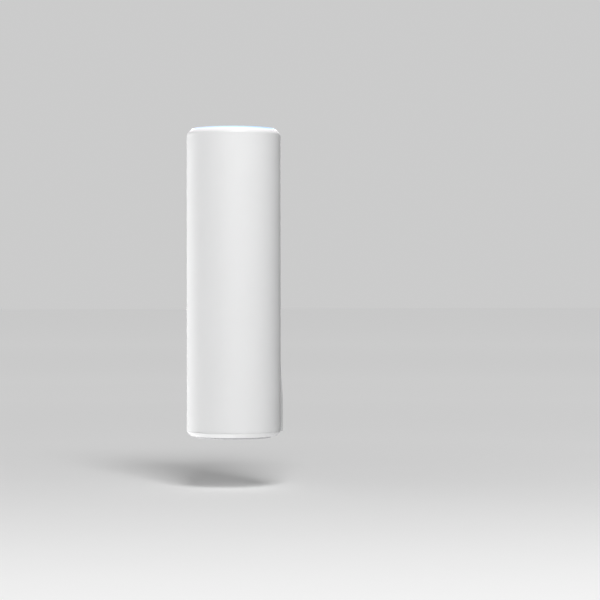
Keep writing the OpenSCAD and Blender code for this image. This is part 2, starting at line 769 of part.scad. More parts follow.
module antenna_carrier() {
    color([0.9, 0.9, 0.88]) on_unit() difference() {
        union() {
            intersection() {
                ring(19.6, 0, carrier_z, carrier_z + carrier_t);
                block([-post_x + 0.3, -20, 0], [post_x - 0.3, 20, 200]);
            }
            ring(7, 0, carrier_z + carrier_t - eps, 147, 64);
            // ribs that back each antenna
            for (a = antenna_angles) rotate(a)
                block([6.5, -0.6, antenna_base - eps], [antenna_at - 0.15, 0.6, 143]);
        }
        translate([0, 0, carrier_z - 1]) cylinder(r = 5.6, h = 30);
        block([-4.5, 14.5, carrier_z - 1], [4.5, 20, carrier_z + 5]);
        for (a = antenna_angles) rotate(a + coax_turn) translate([coax_at, 0, carrier_z - 1])
            cylinder(r = 1.4, h = 5, $fn = SMALL);
    }
}

// A stamped inverted-F plate with a folded top, standing on the carrier.
module antenna_5g(a) {
    w = 5.5;
    h = 12.4;
    t = 0.4;
    leg = 3.4;
    feed_y = antenna_at * sin(coax_turn);
    color([0.8, 0.72, 0.5]) on_unit() rotate(a) translate([antenna_at, 0, antenna_base + 0.02]) {
        difference() {
            block([0, -w, 0], [t, w, h]);
            block([-1, -w - 1, -1], [1, feed_y - 0.5, leg]);
            block([-1, feed_y + 0.5, -1], [1, w - 1.2, leg]);
            block([-1, -w + 1.6, 7.5], [1, -w + 3.4, h - 1.5]);
        }
        block([-4.2, -w, h - t], [t, w, h]);
    }
}

// A tall inverted-F plate that stands on the back of the main board.
module antenna_2g(side) {
    t = 0.4;
    y = 13.6;
    color([0.8, 0.72, 0.5]) on_unit() scale([side, 1, 1]) {
        difference() {
            block([7, y, 78], [15, y + t, 112]);
            block([9, y - 1, 80.5], [15.1, y + 1, 82]);
            block([10.2, y - 1, 86], [11.6, y + 1, 108]);
        }
        for (z = [78, 84]) block([7, board_y1 + 0.01, z], [7 + t, y + eps, z + 1.6]);
    }
}

// A point on the line that coax i leaves its antenna along, at distance r from the axis.
function coax_point(i, r) =
    let (a = antenna_angles[i] + coax_turn)
    r * [cos(a), sin(a)];

function coax_end_y(i) = i < 2 ? board_y1 + 1.2 : board_y0 - 1.2;
function coax_end_z(i) = i < 2 ? 123.6 : 127.9;

module coax(i) {
    hole = coax_point(i, coax_at);
    start = coax_point(i, antenna_at);
    end_y = coax_end_y(i);
    end_z = coax_end_z(i);
    feed_z = antenna_base + 1.8;
    bend_z = i < 2 ? 128.4 : 131;
    color([0.25, 0.25, 0.27]) on_unit() tube(rounded([
        [start.x, start.y, feed_z], [hole.x, hole.y, feed_z], [hole.x, hole.y, bend_z],
        [hole.x, end_y, end_z + 2], [hole.x, end_y, end_z - 0.3]
    ], 0.9), coax_r);
}

module coax_connectors() {
    color([0.85, 0.7, 0.35]) on_unit() for (i = [0 : 3]) {
        x = coax_point(i, coax_at).x;
        z = coax_end_z(i) - 1.6;
        y0 = i < 2 ? board_y1 + 0.01 : board_y0 - 2.01;
        translate([x, 0, z]) bore_y(1.3, y0, y0 + 2);
    }
}

// ---------- one line per node ----------

wall_bracket();
casing_sleeve();
rail_channel();
channel_screws();
base_cover();
foot_ring();
cable_plug();
light_ring();
top_dish();
top_seal();
led_board();
led_chips();
led_connector();
led_board_screws();
led_ribbon();
bulkhead();
chassis();
chassis_screws();
frame_screws();
main_board();
ribbon_connector();
processor();
memory_chips();
radio_chips();
power_inductors();
shield_can(can_zs[0][0], can_zs[0][1]);  // shield_can_lower
shield_can(can_zs[1][0], can_zs[1][1]);  // shield_can_upper
thermal_pads();
heatsink();
heatsink_screws();
jack_shield();
jack_housing();
jack_contacts();
network_transformer();
power_transformer();
capacitors();
reset_switch();
reset_button();
antenna_carrier();
antenna_5g(antenna_angles[0]);  // antenna_5g_1
antenna_5g(antenna_angles[1]);  // antenna_5g_2
antenna_5g(antenna_angles[2]);  // antenna_5g_3
antenna_5g(antenna_angles[3]);  // antenna_5g_4
antenna_2g(-1);  // antenna_2g_left
antenna_2g(1);  // antenna_2g_right
coax(0);  // coax_1
coax(1);  // coax_2
coax(2);  // coax_3
coax(3);  // coax_4
coax_connectors();
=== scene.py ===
import json
import math

import bmesh
import bpy
from mathutils import Matrix, Vector

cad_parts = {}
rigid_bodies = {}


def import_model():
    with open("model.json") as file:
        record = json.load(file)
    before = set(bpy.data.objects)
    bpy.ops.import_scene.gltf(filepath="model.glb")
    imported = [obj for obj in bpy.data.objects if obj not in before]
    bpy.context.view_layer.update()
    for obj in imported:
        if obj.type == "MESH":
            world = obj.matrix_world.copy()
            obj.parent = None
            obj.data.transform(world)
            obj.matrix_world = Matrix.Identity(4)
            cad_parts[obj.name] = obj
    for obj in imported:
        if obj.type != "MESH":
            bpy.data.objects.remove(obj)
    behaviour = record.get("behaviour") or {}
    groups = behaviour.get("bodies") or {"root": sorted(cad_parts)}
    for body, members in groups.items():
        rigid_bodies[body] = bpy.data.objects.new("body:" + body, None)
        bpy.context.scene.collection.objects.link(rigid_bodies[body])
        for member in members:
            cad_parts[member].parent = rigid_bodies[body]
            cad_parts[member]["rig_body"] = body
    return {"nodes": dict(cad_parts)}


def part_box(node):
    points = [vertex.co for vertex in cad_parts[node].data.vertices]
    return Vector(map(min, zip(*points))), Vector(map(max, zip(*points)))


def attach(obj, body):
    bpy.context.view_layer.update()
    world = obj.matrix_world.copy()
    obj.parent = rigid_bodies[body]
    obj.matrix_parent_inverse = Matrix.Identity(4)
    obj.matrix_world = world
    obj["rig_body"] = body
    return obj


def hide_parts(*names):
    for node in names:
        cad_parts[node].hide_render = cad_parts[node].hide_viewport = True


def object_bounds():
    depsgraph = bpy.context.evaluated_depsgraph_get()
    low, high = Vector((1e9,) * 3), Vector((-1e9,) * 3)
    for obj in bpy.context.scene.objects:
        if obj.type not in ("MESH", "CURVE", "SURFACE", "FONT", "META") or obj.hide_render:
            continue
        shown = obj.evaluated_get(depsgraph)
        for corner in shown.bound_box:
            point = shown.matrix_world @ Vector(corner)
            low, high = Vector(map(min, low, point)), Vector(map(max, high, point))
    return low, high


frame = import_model()
cad_low, cad_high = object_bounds()

MM = 0.001
FINE = 256                  # sides of the casing's round surfaces
SHARP = math.radians(32)    # edges sharper than this are shaded as edges

# The node's own frame: its axis is vertical, and z = 0 is the underside of the foot. Pieces are
# modelled in it in millimetres, and UNIT carries them to their place in the shared frame.
sleeve_low, sleeve_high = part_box("casing_sleeve")
foot_low, foot_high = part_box("foot_ring")
AXIS = Vector(((sleeve_low.x + sleeve_high.x) / 2, (sleeve_low.y + sleeve_high.y) / 2, foot_low.z))
UNIT = Matrix.Translation(AXIS) @ Matrix.Scale(MM, 4)
FROM_FRAME = UNIT.inverted()

# The side that is looked at: from the node towards the camera, and to the camera's right.
CAMERA_AZIMUTH = math.radians(66)
TOWARDS = Vector((math.sin(CAMERA_AZIMUTH), -math.cos(CAMERA_AZIMUTH), 0))
RIGHT = Vector((math.cos(CAMERA_AZIMUTH), math.sin(CAMERA_AZIMUTH), 0))


def extents(node):
    """Lowest and highest corner of a CAD node in the node's own frame, in millimetres."""
    low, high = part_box(node)
    return FROM_FRAME @ low, FROM_FRAME @ high


# ---------- sizes, read from the CAD ----------

sleeve_lo, sleeve_hi = extents("casing_sleeve")
cover_lo, cover_hi = extents("base_cover")
ring_lo, ring_hi = extents("light_ring")
dish_lo, dish_hi = extents("top_dish")
foot_lo, foot_hi = extents("foot_ring")
plug_lo, plug_hi = extents("cable_plug")
rail_lo, rail_hi = extents("wall_bracket")

# What a box doesn't tell, such as wall thicknesses and bevels, repeats part.scad's values.
BODY_R = sleeve_hi.x
WALL = 2.0
BORE_R = BODY_R - WALL
BODY_TOP = sleeve_hi.z
TOP = ring_hi.z
TOP_BEVEL_H = 2.75
TOP_BEVEL_W = 2.85
LIP_R = BODY_R - TOP_BEVEL_W    # outer radius of the light ring's top edge
RING_EDGE_R = ring_hi.x         # where the light ring meets the sleeve, on the bevel
SEAM_GAP = 0.15
SEAM_Z = sleeve_lo.z - SEAM_GAP
COVER_Z = cover_lo.z
COVER_FLOOR = COVER_Z + 2.05    # top of the base cover's floor
BASE_BEVEL_W = 1.9
BASE_BEVEL_H = 1.95
COVER_EDGE_R = BODY_R - BASE_BEVEL_W
WALL_Y = rail_hi.y
RAIL_FRONT = rail_lo.y
RAIL_TOP = 37.95
LUG_W = rail_hi.x
STEM_W = 4.1
SLIP = 0.3


# ---------- mesh helpers ----------

def arc_corner(before, corner, after, radius, steps):
    """Points of an arc of that radius that rounds one corner of an outline."""
    to_before = (before - corner).normalized()
    to_after = (after - corner).normalized()
    half = to_before.angle(to_after) / 2
    reach = radius / math.tan(half)
    centre = corner + (to_before + to_after).normalized() * (radius / math.sin(half))
    start = corner + to_before * reach - centre
    end = corner + to_after * reach - centre
    sweep = start.angle_signed(end)
    return [centre + Matrix.Rotation(-sweep * i / steps, 2) @ start for i in range(steps + 1)]


def rounded(corners, steps=6):
    """A closed outline through (u, v) or (u, v, radius) corners, with an arc at each radius."""
    places = [Vector(c[:2]) for c in corners]
    outline = []
    for i, corner in enumerate(corners):
        if len(corner) < 3:
            outline.append(places[i])
            continue
        outline += arc_corner(places[i - 1], places[i], places[(i + 1) % len(places)], corner[2], steps)
    return outline


def scene_object(name, bm):
    """Turns a bmesh into an object of the scene."""
    mesh = bpy.data.meshes.new(name)
    bm.to_mesh(mesh)
    bm.free()
    piece = bpy.data.objects.new(name, mesh)
    bpy.context.scene.collection.objects.link(piece)
    return piece


def cad_bmesh(node, merge=None):
    """A bmesh copy of a CAD node, whose points closer than merge, in metres, become one."""
    bm = bmesh.new()
    bm.from_mesh(frame["nodes"][node].data)
    if merge:
        bmesh.ops.remove_doubles(bm, verts=bm.verts, dist=merge)
    return bm


def shade(piece, sharp=SHARP):
    """Shades the piece smooth between the edges that are sharper than that."""
    piece.data.shade_smooth()
    piece.data.set_sharp_from_angle(angle=sharp)


def new_piece(name, bm, body=None, matrix=UNIT):
    """Turns a bmesh in the node's frame into an object that is shaded smooth between its edges."""
    bmesh.ops.remove_doubles(bm, verts=bm.verts, dist=1e-4)
    bmesh.ops.recalc_face_normals(bm, faces=bm.faces)
    bm.transform(matrix)
    piece = scene_object(name, bm)
    shade(piece)
    if body:
        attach(piece, body)
    return piece


def lathe_mesh(outline, sides=FINE, bm=None, centre=(0, 0)):
    """Turns a closed (radius, height) outline about a vertical axis."""
    bm = bm or bmesh.new()
    rings = []
    for k in range(sides):
        a = 2 * math.pi * k / sides
        rings.append([bm.verts.new((centre[0] + p[0] * math.cos(a), centre[1] + p[0] * math.sin(a), p[1]))
                      for p in outline])
    for k in range(sides):
        near, far = rings[k], rings[(k + 1) % sides]
        for i in range(len(outline)):
            j = (i + 1) % len(outline)
            if outline[i][0] < 1e-6 and outline[j][0] < 1e-6:
                continue
            bm.faces.new((near[i], far[i], far[j], near[j]))
    return bm


def prism_mesh(outline, low, high, axes="xyz", bm=None):
    """A straight prism: outline lies in the first two of the axes, and low and high are along the third."""
    bm = bm or bmesh.new()
    order = ["xyz".index(a) for a in axes]

    def place(p, w):
        v = [0, 0, 0]
        v[order[0]], v[order[1]], v[order[2]] = p[0], p[1], w
        return v

    bottom = [bm.verts.new(place(p, low)) for p in outline]
    top = [bm.verts.new(place(p, high)) for p in outline]
    bm.faces.new(bottom)
    bm.faces.new(top)
    for i in range(len(outline)):
        j = (i + 1) % len(outline)
        bm.faces.new((bottom[i], bottom[j], top[j], top[i]))
    return bm


def box_mesh(low, high, bm=None):
    """A box between two opposite corners."""
    corners = [(low[0], low[1]), (high[0], low[1]), (high[0], high[1]), (low[0], high[1])]
    return prism_mesh(corners, low[2], high[2], bm=bm)


def bake_modifiers(piece):
    """Applies the piece's modifiers to its mesh."""
    graph = bpy.context.evaluated_depsgraph_get()
    mesh = bpy.data.meshes.new_from_object(piece.evaluated_get(graph), depsgraph=graph)
    piece.modifiers.clear()
    piece.data = mesh


def combine(piece, tools, operation="DIFFERENCE"):
    """Cuts the tools out of the piece, or joins or intersects them, and deletes the tools."""
    for tool in tools:
        modifier = piece.modifiers.new("combine", "BOOLEAN")
        modifier.operation = operation
        modifier.solver = "EXACT"
        modifier.object = tool
    bake_modifiers(piece)
    for tool in tools:
        bpy.data.objects.remove(tool)
    return piece


def soften(piece, width):
    """Rounds every sharp edge of the piece by width, in millimetres."""
    bm = bmesh.new()
    bm.from_mesh(piece.data)
    bmesh.ops.remove_doubles(bm, verts=bm.verts, dist=2e-6)
    bmesh.ops.dissolve_limit(bm, angle_limit=math.radians(0.4), verts=bm.verts, edges=bm.edges)
    edges = [e for e in bm.edges if len(e.link_faces) == 2 and e.calc_face_angle(0) > SHARP]
    bmesh.ops.bevel(bm, geom=edges, offset=width * MM, offset_type="OFFSET", segments=2, profile=0.5,
                    affect="EDGES", clamp_overlap=True)
    bm.to_mesh(piece.data)
    bm.free()
    shade(piece)


def refine(node, width):
    """A finer copy of a CAD node, with every sharp edge rounded by width in millimetres."""
    piece = scene_object(node + "_fine", cad_bmesh(node))
    soften(piece, width)
    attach(piece, frame["nodes"][node]["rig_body"])
    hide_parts(node)
    return piece


def islands(node):
    """The separate solids of a CAD node: for each, its mesh corners in the node's own frame."""
    bm = cad_bmesh(node, 1e-6)
    bm.verts.ensure_lookup_table()
    found, seen = [], set()
    for first in bm.verts:
        if first.index in seen:
            continue
        seen.add(first.index)
        group, waiting = [], [first]
        while waiting:
            vert = waiting.pop()
            group.append(FROM_FRAME @ vert.co)
            for other in (edge.other_vert(vert) for edge in vert.link_edges):
                if other.index not in seen:
                    seen.add(other.index)
                    waiting.append(other)
        found.append(group)
    bm.free()
    return found


def middle_of(points):
    """The middle and the size of the box round some points."""
    low = Vector(min(p[i] for p in points) for i in range(3))
    high = Vector(max(p[i] for p in points) for i in range(3))
    return (low + high) / 2, high - low


# ---------- material helpers ----------

def material(name, color, roughness, metallic=0.0, coat=0.0, specular=0.5):
    """A Principled material, and the node tree and shader to add its texture to."""
    mat = bpy.data.materials.new(name)
    mat.use_nodes = True
    shader = mat.node_tree.nodes["Principled BSDF"]
    shader.inputs["Base Color"].default_value = (*color, 1)
    shader.inputs["Roughness"].default_value = roughness
    shader.inputs["Metallic"].default_value = metallic
    shader.inputs["Coat Weight"].default_value = coat
    shader.inputs["Specular IOR Level"].default_value = specular
    return mat, mat.node_tree, shader


def object_coordinates(tree, stretch=(1, 1, 1)):
    """Object coordinates, in metres, squeezed along each axis by stretch."""
    coordinates = tree.nodes.new("ShaderNodeTexCoord")
    mapping = tree.nodes.new("ShaderNodeMapping")
    mapping.inputs["Scale"].default_value = stretch
    tree.links.new(coordinates.outputs["Object"], mapping.inputs["Vector"])
    return mapping.outputs["Vector"]


def noise(tree, vector, size_mm, detail=2.0, roughness=0.5):
    """A noise whose features are about size_mm across."""
    node = tree.nodes.new("ShaderNodeTexNoise")
    node.inputs["Scale"].default_value = 1 / (size_mm * MM)
    node.inputs["Detail"].default_value = detail
    node.inputs["Roughness"].default_value = roughness
    tree.links.new(vector, node.inputs["Vector"])
    return node.outputs["Fac"]


def spread(tree, value, low, high, from_low=0.3, from_high=0.7):
    """Maps a value that lies between from_low and from_high to between low and high."""
    node = tree.nodes.new("ShaderNodeMapRange")
    for socket, v in (("From Min", from_low), ("From Max", from_high), ("To Min", low), ("To Max", high)):
        node.inputs[socket].default_value = v
    tree.links.new(value, node.inputs["Value"])
    return node.outputs["Result"]


def blend_colors(tree, factor, first, second):
    """A colour ramp from first to second as factor goes from 0 to 1."""
    ramp = tree.nodes.new("ShaderNodeValToRGB")
    ramp.color_ramp.elements[0].color = (*first, 1)
    ramp.color_ramp.elements[1].color = (*second, 1)
    tree.links.new(factor, ramp.inputs["Fac"])
    return ramp.outputs["Color"]


def bump(tree, shader, height, depth_mm, strength=1.0):
    """Raises the surface by up to depth_mm where height is 1."""
    node = tree.nodes.new("ShaderNodeBump")
    node.inputs["Strength"].default_value = strength
    node.inputs["Distance"].default_value = depth_mm * MM
    tree.links.new(height, node.inputs["Height"])
    tree.links.new(node.outputs["Normal"], shader.inputs["Normal"])


def scaled(color, factor):
    """The colour made lighter or darker, and no brighter than 1."""
    return tuple(min(1.0, c * factor) for c in color)


def moulded(name, color, roughness=0.5, grain_mm=0.12, grain_depth=0.012):
    """Injection-moulded plastic: an even fine grain, and a slight drift in tone and sheen."""
    mat, tree, shader = material(name, color, roughness)
    vector = object_coordinates(tree)
    drift = noise(tree, vector, 14, 2)
    tone = blend_colors(tree, drift, scaled(color, 0.985), scaled(color, 1.01))
    tree.links.new(tone, shader.inputs["Base Color"])
    grain = noise(tree, vector, grain_mm, 3, 0.6)
    tree.links.new(spread(tree, grain, roughness - 0.06, roughness + 0.06), shader.inputs["Roughness"])
    bump(tree, shader, grain, grain_depth, 0.6)
    return mat


def soft_rubber(name, color):
    """Matt rubber with a cloudy bloom and a fine grain."""
    mat, tree, shader = material(name, color, 0.75, specular=0.3)
    vector = object_coordinates(tree)
    bloom = noise(tree, vector, 1.6, 4, 0.65)
    tone = blend_colors(tree, bloom, scaled(color, 0.85), scaled(color, 1.2))
    tree.links.new(tone, shader.inputs["Base Color"])
    grain = noise(tree, vector, 0.18, 3, 0.7)
    tree.links.new(spread(tree, grain, 0.66, 0.86), shader.inputs["Roughness"])
    bump(tree, shader, grain, 0.03)
    return mat


def plated(name, color, roughness=0.28, streak=(1, 1, 1), depth=0.004):
    """Plated or drawn sheet metal, with fine streaks along the axis that streak leaves long."""
    mat, tree, shader = material(name, color, roughness, metallic=1.0)
    vector = object_coordinates(tree, streak)
    lines = noise(tree, vector, 0.25, 4, 0.6)
    tree.links.new(spread(tree, lines, roughness - 0.08, roughness + 0.12), shader.inputs["Roughness"])
    stain = noise(tree, object_coordinates(tree), 3.5, 3)
    tone = blend_colors(tree, stain, scaled(color, 0.9), scaled(color, 1.06))
    tree.links.new(tone, shader.inputs["Base Color"])
    bump(tree, shader, lines, depth)
    return mat


def circuit_board(name, mask, track, across=(1, 0, 1)):
    """Solder mask over copper tracks, which show as slightly raised, lighter paths."""
    mat, tree, shader = material(name, mask, 0.32, coat=0.25)
    vector = object_coordinates(tree, across)
    tracks = tree.nodes.new("ShaderNodeTexBrick")
    tracks.offset = 0.37
    tracks.inputs["Scale"].default_value = 1 / (2.2 * MM)
    tracks.inputs["Mortar Size"].default_value = 0.035
    tracks.inputs["Mortar Smooth"].default_value = 0.2
    for socket, value in (("Color1", 0), ("Color2", 0), ("Mortar", 1)):
        tracks.inputs[socket].default_value = (value, value, value, 1)
    swap = tree.nodes.new("ShaderNodeVectorRotate")
    swap.rotation_type = "X_AXIS"
    swap.inputs["Angle"].default_value = math.radians(90)
    tree.links.new(vector, swap.inputs["Vector"])
    tree.links.new(swap.outputs["Vector"], tracks.inputs["Vector"])
    tree.links.new(blend_colors(tree, tracks.outputs["Color"], mask, track), shader.inputs["Base Color"])
    bump(tree, shader, tracks.outputs["Color"], 0.03)
    return mat


# ---------- the materials ----------

SHELL = (0.83, 0.832, 0.835)
PAINTED_BEVEL_GLOW = (0.16, 0.13, 0.15)      # painted glow on the sleeve's top bevel, for the light ring's light through it
PAINTED_BEVEL_GLOW_H = 0.9                   # height over which that painted glow sets in, in millimetres
RING_MILK = (0.35, 0.42, 0.48)      # the light ring unlit
RIM_WHITE = (0.7, 0.78, 0.78)
RIM_LAVENDER = (0.42, 0.42, 0.6)
RIM_CYAN = (0.3, 0.5, 0.62)
RIM_BLUE = (0.1, 0.26, 0.55)
RIM_CYAN_AT = 0.45                  # part of the way across the ring
RIM_FADE = (1.1, 0.2)               # millimetres below the top where white starts to go, and is gone

# painted shade: the bracket gets a light grey plastic in place of the body's white, so it looks as it does in
# the body's shade next to a wall
bracket_plastic = moulded("bracket_plastic", (0.48, 0.483, 0.488), 0.5)
dish_plastic = moulded("dish_plastic", (0.82, 0.83, 0.85), 0.42)
grey_moulding = moulded("grey_moulding", (0.5, 0.51, 0.52), 0.55)
dark_moulding = moulded("dark_moulding", (0.028, 0.03, 0.033), 0.5)
cream_moulding = moulded("cream_moulding", (0.72, 0.68, 0.56), 0.45)
jack_moulding = moulded("jack_moulding", (0.02, 0.02, 0.022), 0.4)
switch_moulding = moulded("switch_moulding", (0.3, 0.31, 0.33), 0.4)
button_moulding = moulded("button_moulding", (0.5, 0.03, 0.02), 0.38)
chip_epoxy = moulded("chip_epoxy", (0.018, 0.018, 0.02), 0.5, 0.08, 0.01)
ferrite = moulded("ferrite", (0.045, 0.045, 0.05), 0.6, 0.2, 0.03)
cable_film = moulded("cable_film", (0.75, 0.75, 0.72), 0.35)
capacitor_film = moulded("capacitor_film", (0.02, 0.03, 0.1), 0.25)
coax_jacket = moulded("coax_jacket", (0.03, 0.03, 0.033), 0.4)
foot_rubber = soft_rubber("foot_rubber", (0.585, 0.585, 0.595))
seal_rubber = soft_rubber("seal_rubber", (0.02, 0.02, 0.022))
thermal_silicone = soft_rubber("thermal_silicone", (0.16, 0.24, 0.42))
screw_steel = plated("screw_steel", (0.62, 0.62, 0.63), 0.3)
tinplate = plated("tinplate", (0.68, 0.69, 0.7), 0.26, (1, 1, 0.06))
sink_aluminium = plated("sink_aluminium", (0.6, 0.61, 0.62), 0.36, (1, 1, 0.03), 0.01)
contact_gold = plated("contact_gold", (0.9, 0.66, 0.25), 0.2)
antenna_metal = plated("antenna_metal", (0.7, 0.66, 0.55), 0.3, (1, 1, 0.08))
green_board = circuit_board("green_board", (0.008, 0.07, 0.035), (0.02, 0.14, 0.06))
white_board = circuit_board("white_board", (0.7, 0.71, 0.69), (0.8, 0.8, 0.78), (1, 1, 0))


def height_in_node(tree, vector, low, high):
    """0 at height low and 1 at height high, in millimetres above the foot."""
    split = tree.nodes.new("ShaderNodeSeparateXYZ")
    tree.links.new(vector, split.inputs["Vector"])
    from_low, from_high = ((UNIT @ Vector((0, 0, z))).z for z in (low, high))
    return spread(tree, split.outputs["Z"], 0, 1, from_low, from_high)


def painted_glow_shell_material():
    """The casing's plastic, with a painted glow on its top bevel that stands in for the light ring's light
    shining through its thin top edge.
    """
    mat = moulded("shell_plastic", SHELL, 0.46)
    tree = mat.node_tree
    shader = tree.nodes["Principled BSDF"]
    bevel_z = TOP - TOP_BEVEL_H
    level = height_in_node(tree, object_coordinates(tree), bevel_z, bevel_z + PAINTED_BEVEL_GLOW_H)
    # painted glow: emission on the top bevel, though the casing is no lamp
    tree.links.new(blend_colors(tree, level, (0, 0, 0), PAINTED_BEVEL_GLOW), shader.inputs["Emission Color"])
    shader.inputs["Emission Strength"].default_value = 1.0
    return mat


def lit_ring_material():
    """The milky ring that carries the light: white-hot next to the sleeve, and blue along its top edge.

    The blue goes from lavender on the side to the camera's left, through cyan, to a deeper blue on its right.
    """
    mat, tree, shader = material("light_diffuser", RING_MILK, 0.3)
    vector = object_coordinates(tree)
    cloud = noise(tree, vector, 3, 2)
    milk = blend_colors(tree, cloud, (0.33, 0.4, 0.47), (0.37, 0.44, 0.5))
    tree.links.new(milk, shader.inputs["Base Color"])
    across = tree.nodes.new("ShaderNodeVectorMath")
    across.operation = "DOT_PRODUCT"
    across.inputs[1].default_value = RIGHT
    tree.links.new(vector, across.inputs[0])
    middle = AXIS.dot(RIGHT)
    place = spread(tree, across.outputs["Value"], 0, 1, middle - LIP_R * MM, middle + LIP_R * MM)
    ramp = tree.nodes.new("ShaderNodeValToRGB")
    ramp.color_ramp.elements.new(RIM_CYAN_AT)
    for stop, color in zip(ramp.color_ramp.elements, (RIM_LAVENDER, RIM_CYAN, RIM_BLUE)):
        stop.color = (*color, 1)
    tree.links.new(place, ramp.inputs["Fac"])
    level = height_in_node(tree, vector, TOP - RIM_FADE[0], TOP - RIM_FADE[1])
    mix = tree.nodes.new("ShaderNodeMix")
    mix.data_type = "RGBA"
    tree.links.new(level, mix.inputs["Factor"])
    mix.inputs["A"].default_value = (*RIM_WHITE, 1)
    tree.links.new(ramp.outputs["Color"], mix.inputs["B"])
    tree.links.new(mix.outputs["Result"], shader.inputs["Emission Color"])
    shader.inputs["Emission Strength"].default_value = 1.0
    bump(tree, shader, noise(tree, vector, 0.2, 2), 0.005)
    return mat


def lit_led_material():
    """A lit chip under yellow phosphor, which glows blue-white."""
    mat, tree, shader = material("led_package", (0.9, 0.8, 0.4), 0.3)
    phosphor = noise(tree, object_coordinates(tree), 0.3, 3)
    glow = blend_colors(tree, phosphor, (0.25, 0.6, 1.0), (0.6, 0.9, 1.0))
    tree.links.new(glow, shader.inputs["Emission Color"])
    shader.inputs["Emission Strength"].default_value = 3.0
    return mat


shell_plastic = painted_glow_shell_material()
light_diffuser = lit_ring_material()
led_package = lit_led_material()


def dress(piece, mat):
    """Gives the piece its material and slot, sharp edges, and normals that keep its large faces flat."""
    piece.data.set_sharp_from_angle(angle=SHARP)
    piece.modifiers.new("normals", "WEIGHTED_NORMAL").keep_sharp = True
    bake_modifiers(piece)
    piece.data.materials.clear()
    piece.data.materials.append(mat)
    return piece


# ---------- casing ----------

SLOT_W = STEM_W + SLIP
SLOT_TOP = RAIL_TOP + 0.05
BULKHEAD_Z = 40.0
LUG_AT = BORE_R - 2.65
LUG_ANGLES = (35, 145, 270)
LUG_R = 3.0
LUG_HOLE_R = 1.3
LUG_TOP = BULKHEAD_Z - 0.05
LUG_FOOT = LUG_TOP - 6


def around(angle, radius):
    """The place at that angle, in degrees, on a circle round the axis."""
    a = math.radians(angle)
    return radius * math.cos(a), radius * math.sin(a)


def make_casing_sleeve():
    """The white tube, with its top bevel, the rail's slot, and the lugs that hold the bulkhead."""
    # the points at 32, 50 and 100 part its long walls, so that their faces shade evenly
    outline = rounded([
        (BORE_R, SEAM_Z + SEAM_GAP, 0.15), (BODY_R, SEAM_Z + SEAM_GAP, 0.05),
        (BODY_R, 50), (BODY_R, 100), (BODY_R, TOP - TOP_BEVEL_H, 2.0), (RING_EDGE_R, BODY_TOP, 0.04),
        (BORE_R, BODY_TOP), (BORE_R, 50), (BORE_R, 32),
    ])
    sleeve = new_piece("casing_shell", lathe_mesh(outline))
    lugs = bmesh.new()
    for angle in LUG_ANGLES:
        lug = rounded([(0, LUG_FOOT), (LUG_R, LUG_FOOT, 0.3), (LUG_R, LUG_TOP, 0.1), (0, LUG_TOP)], 3)
        lathe_mesh(lug, 48, lugs, around(angle, LUG_AT))
    within = new_piece("within", lathe_mesh([(0, 30), (BORE_R + 0.5, 30), (BORE_R + 0.5, 42), (0, 42)]))
    lug_tool = combine(new_piece("lugs", lugs), [within], "INTERSECT")
    combine(sleeve, [lug_tool], "UNION")
    holes = bmesh.new()
    for angle in LUG_ANGLES:
        lathe_mesh([(0, 25), (LUG_HOLE_R, 25), (LUG_HOLE_R, 45), (0, 45)], 32, holes, around(angle, LUG_AT))
    slot = rounded([(-SLOT_W, -5), (SLOT_W, -5), (SLOT_W, SLOT_TOP, 0.5), (-SLOT_W, SLOT_TOP, 0.5)], 4)
    slot = prism_mesh(slot, BORE_R - 6, BODY_R + 2, "xzy")
    combine(sleeve, [new_piece("slot", slot), new_piece("holes", holes)])
    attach(sleeve, "unit")
    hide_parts("casing_sleeve")
    return dress(sleeve, shell_plastic)


make_casing_sleeve()

OUTLET_R = 6.0


def make_base_cover():
    """The white cap: a shallow lap fills the seam behind its face, and a spigot fits inside the sleeve."""
    spigot_r = BORE_R - 0.2
    spigot_bore_r = spigot_r - 1.6
    lap_r = BODY_R - 0.13
    lap_z = SEAM_Z + SEAM_GAP - 0.02
    outline = rounded([
        (0, COVER_Z), (COVER_EDGE_R, COVER_Z, 0.8), (BODY_R, COVER_Z + BASE_BEVEL_H, 1.0),
        (BODY_R, SEAM_Z, 0.05), (lap_r, SEAM_Z), (lap_r, lap_z), (spigot_r, lap_z),
        (spigot_r, cover_hi.z, 0.4), (spigot_bore_r, cover_hi.z, 0.3), (spigot_bore_r, COVER_FLOOR, 0.4),
        (0, COVER_FLOOR),
    ])
    cover = new_piece("base_shell", lathe_mesh(outline))
    groove_in, groove_out, groove_top = foot_hi.x - 3.35, foot_hi.x + 0.05, COVER_Z + 0.8
    groove = rounded([(groove_in, 0), (groove_out, 0), (groove_out, groove_top), (groove_in, groove_top)])
    outlet = rounded([(0, -2), (OUTLET_R, -2), (OUTLET_R, 12), (0, 12)])
    slot_front = RAIL_FRONT - SLIP
    notch = box_mesh((-SLOT_W, slot_front, -1), (SLOT_W, BODY_R + 1, 12))
    throat = new_piece("throat", box_mesh((-LUG_W - SLIP, slot_front, -1), (LUG_W + SLIP, BODY_R, 12)))
    within = new_piece("within", lathe_mesh([(0, -2), (BORE_R, -2), (BORE_R, 14), (0, 14)]))
    combine(throat, [within], "INTERSECT")
    relief = box_mesh((-LUG_W - 2.0, 2, COVER_Z + 2.45), (LUG_W + 2.0, BODY_R, 20))
    pry = box_mesh((-BODY_R - 1, -4, SEAM_Z - 0.7), (-BODY_R + 1.1, 4, SEAM_Z + 1))
    tools = [new_piece("groove", lathe_mesh(groove)), new_piece("outlet", lathe_mesh(outlet, 96)), throat]
    tools += [new_piece("tool", bm) for bm in (notch, relief, pry)]
    combine(cover, tools)
    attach(cover, "base")
    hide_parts("base_cover")
    return dress(cover, shell_plastic)


make_base_cover()


